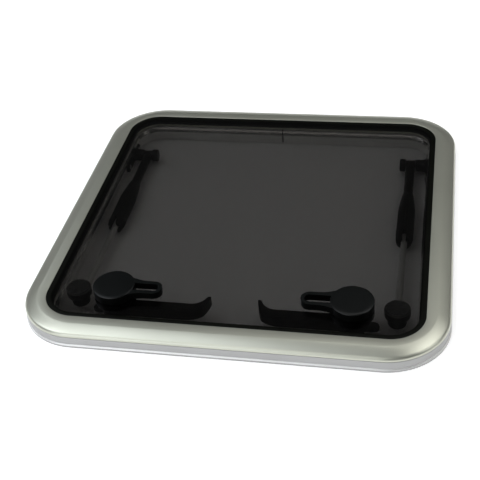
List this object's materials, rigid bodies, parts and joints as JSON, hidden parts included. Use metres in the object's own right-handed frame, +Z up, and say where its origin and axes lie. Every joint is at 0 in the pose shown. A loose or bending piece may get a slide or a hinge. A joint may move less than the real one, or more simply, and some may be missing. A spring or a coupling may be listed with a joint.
{
  "type": "deck hatch",
  "caption": "Flush square deck hatch: rounded aluminium lid and base frames, smoked lens, turning latch handles, inner levers and telescopic stays.",
  "frame": {"origin": "middle of the hatch, on the deck face under the base flange", "axes": "+Z up out of the deck, +Y towards the hinges, +X to the right seen from the handle side"},
  "size_m": [0.5024, 0.5104, 0.0527],
  "materials": {
    "anodised_aluminium": "satin anodised",
    "smoked_acrylic": "clear smoked, polished",
    "black_sealant": "satin",
    "gasket_rubber": "matte",
    "black_nylon": "fine moulded grain",
    "black_anodised": "satin black",
    "stainless_steel": "brushed"
  },
  "bodies": {
    "base": {"base_frame": "anodised_aluminium", "latch_keeper_left": "black_nylon", "latch_keeper_right": "black_nylon", "keeper_screws": "stainless_steel", "stay_bracket_left": "black_nylon", "stay_bracket_right": "black_nylon", "bracket_screws": "stainless_steel", "pivot_pin_left": "black_anodised", "pivot_pin_right": "black_anodised", "hinge_lugs_left": "anodised_aluminium", "hinge_lugs_right": "anodised_aluminium", "hinge_lug_screws": "stainless_steel", "hinge_pin_left": "stainless_steel", "hinge_pin_right": "stainless_steel"},
    "lid": {"lid_frame": "anodised_aluminium", "lens": "smoked_acrylic", "glazing_seal": "black_sealant", "lid_gasket": "gasket_rubber", "hinge_arm_left": "anodised_aluminium", "hinge_arm_right": "anodised_aluminium", "hinge_arm_screws": "stainless_steel", "handle_bush_left": "black_nylon", "handle_bush_right": "black_nylon", "handle_washer_left": "gasket_rubber", "handle_washer_right": "gasket_rubber", "handle_nut_left": "black_nylon", "handle_nut_right": "black_nylon", "stay_foot_left": "black_nylon", "stay_foot_right": "black_nylon"},
    "left_handle": {"outer_handle_left": "black_nylon", "spindle_left": "stainless_steel", "spindle_seal_left": "gasket_rubber", "inner_lever_left": "black_nylon", "latch_tongue_left": "stainless_steel", "lever_screw_left": "stainless_steel"},
    "left_stay_tube": {"stay_tube_left": "black_anodised"},
    "left_stay_grip": {"stay_grip_left": "black_nylon"},
    "left_stay_rod": {"stay_rod_left": "stainless_steel", "stay_rod_end_left": "black_nylon"},
    "right_handle": {"outer_handle_right": "black_nylon", "spindle_right": "stainless_steel", "spindle_seal_right": "gasket_rubber", "inner_lever_right": "black_nylon", "latch_tongue_right": "stainless_steel", "lever_screw_right": "stainless_steel"},
    "right_stay_tube": {"stay_tube_right": "black_anodised"},
    "right_stay_grip": {"stay_grip_right": "black_nylon"},
    "right_stay_rod": {"stay_rod_right": "stainless_steel", "stay_rod_end_right": "black_nylon"}
  },
  "joints": [
    {"name": "lid_hinge", "type": "hinge", "parent": "base", "child": "lid", "pos_m": [0, 0.255, 0.0085], "axis": [-1, 0, 0], "range_deg": [0, 75]},
    {"name": "left_handle_turn", "type": "hinge", "parent": "lid", "child": "left_handle", "pos_m": [-0.14, -0.1755, 0.0227], "axis": [0, 0, 1], "range_deg": [0, 90]},
    {"name": "left_stay_swing", "type": "hinge", "parent": "base", "child": "left_stay_tube", "pos_m": [-0.19, 0.152, -0.007], "axis": [-1, 0, 0], "range_deg": [0, 87.1]},
    {"name": "left_stay_slide", "type": "slide", "parent": "left_stay_tube", "child": "left_stay_rod", "axis": [0, -1, 0], "range_m": [0, 0.10365]},
    {"name": "left_grip_twist", "type": "hinge", "parent": "left_stay_tube", "child": "left_stay_grip", "pos_m": [-0.19, 0.02, -0.007], "axis": [0, 1, 0], "range_deg": [0, 90]},
    {"name": "right_handle_turn", "type": "hinge", "parent": "lid", "child": "right_handle", "pos_m": [0.14, -0.1755, 0.0227], "axis": [0, 0, -1], "range_deg": [0, 90]},
    {"name": "right_stay_swing", "type": "hinge", "parent": "base", "child": "right_stay_tube", "pos_m": [0.19, 0.152, -0.007], "axis": [-1, 0, 0], "range_deg": [0, 87.1]},
    {"name": "right_stay_slide", "type": "slide", "parent": "right_stay_tube", "child": "right_stay_rod", "axis": [0, -1, 0], "range_m": [0, 0.10365]},
    {"name": "right_grip_twist", "type": "hinge", "parent": "right_stay_tube", "child": "right_stay_grip", "pos_m": [0.19, 0.02, -0.007], "axis": [0, 1, 0], "range_deg": [0, 90]}
  ],
  "couplings": [
    {"joint": "left_stay_swing", "follows": "lid_hinge", "ratio": 1.1612},
    {"joint": "left_stay_slide", "follows": "lid_hinge", "m_per_rad": 0.079185},
    {"joint": "right_stay_swing", "follows": "lid_hinge", "ratio": 1.1612},
    {"joint": "right_stay_slide", "follows": "lid_hinge", "m_per_rad": 0.079185}
  ]
}
